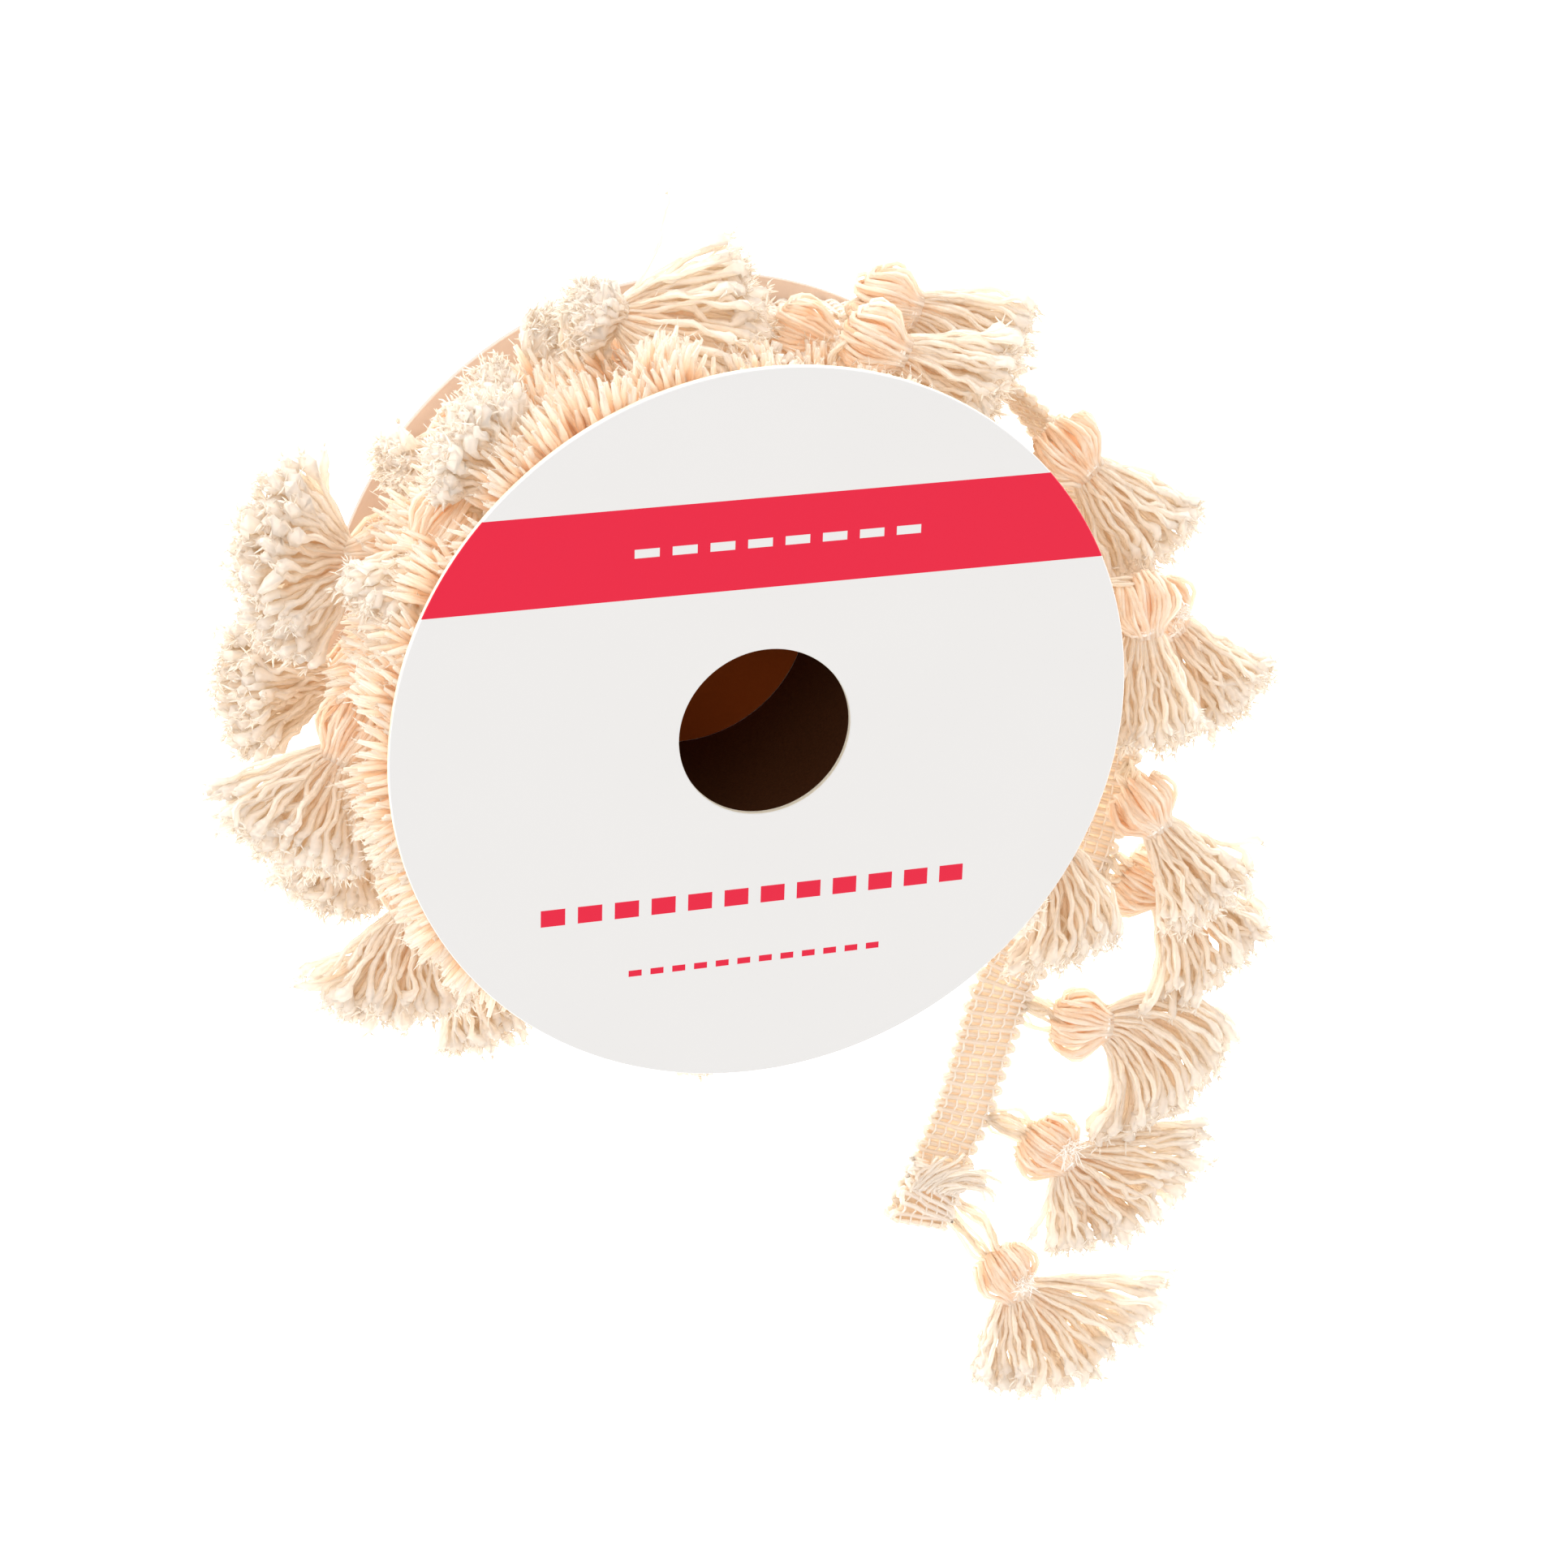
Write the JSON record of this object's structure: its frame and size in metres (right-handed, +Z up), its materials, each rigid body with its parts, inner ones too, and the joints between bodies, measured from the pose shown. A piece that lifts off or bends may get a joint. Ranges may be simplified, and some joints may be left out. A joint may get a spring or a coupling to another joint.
{
  "type": "tassel fringe trim on a reel",
  "caption": "Cotton tassel fringe wound on a flat card reel lying on its back disc, with the loose end of the woven heading and its tassels trailing on the surface.",
  "frame": {"origin": "on the surface that the reel lies on, at the middle of the footprint of reel and loose end", "axes": "+Z up along the reel's axle, out of its front disc; +Y from the loose end towards the reel; +X across the footprint, so that the label's band runs along X"},
  "size_m": [0.2026, 0.2434, 0.0494],
  "materials": {
    "front_card": "matte",
    "back_card": "matte",
    "tube_card": "matte",
    "cotton": "matte"
  },
  "bodies": {
    "root": {"back_disc": "back_card", "front_disc": "front_card", "core_tube": "tube_card", "wound_roll": "cotton", "loose_heading": "cotton", "tassel_01": "cotton", "tassel_02": "cotton", "tassel_03": "cotton", "tassel_04": "cotton", "tassel_05": "cotton", "tassel_06": "cotton", "tassel_07": "cotton", "tassel_08": "cotton", "tassel_09": "cotton", "tassel_10": "cotton", "tassel_11": "cotton", "tassel_12": "cotton", "tassel_13": "cotton", "tassel_14": "cotton", "tassel_15": "cotton", "tassel_16": "cotton", "tassel_17": "cotton", "tassel_18": "cotton", "tassel_19": "cotton", "tassel_20": "cotton", "tassel_21": "cotton", "tassel_22": "cotton", "tassel_23": "cotton", "tassel_24": "cotton", "tassel_25": "cotton", "tassel_26": "cotton", "tassel_27": "cotton"}
  },
  "joints": []
}
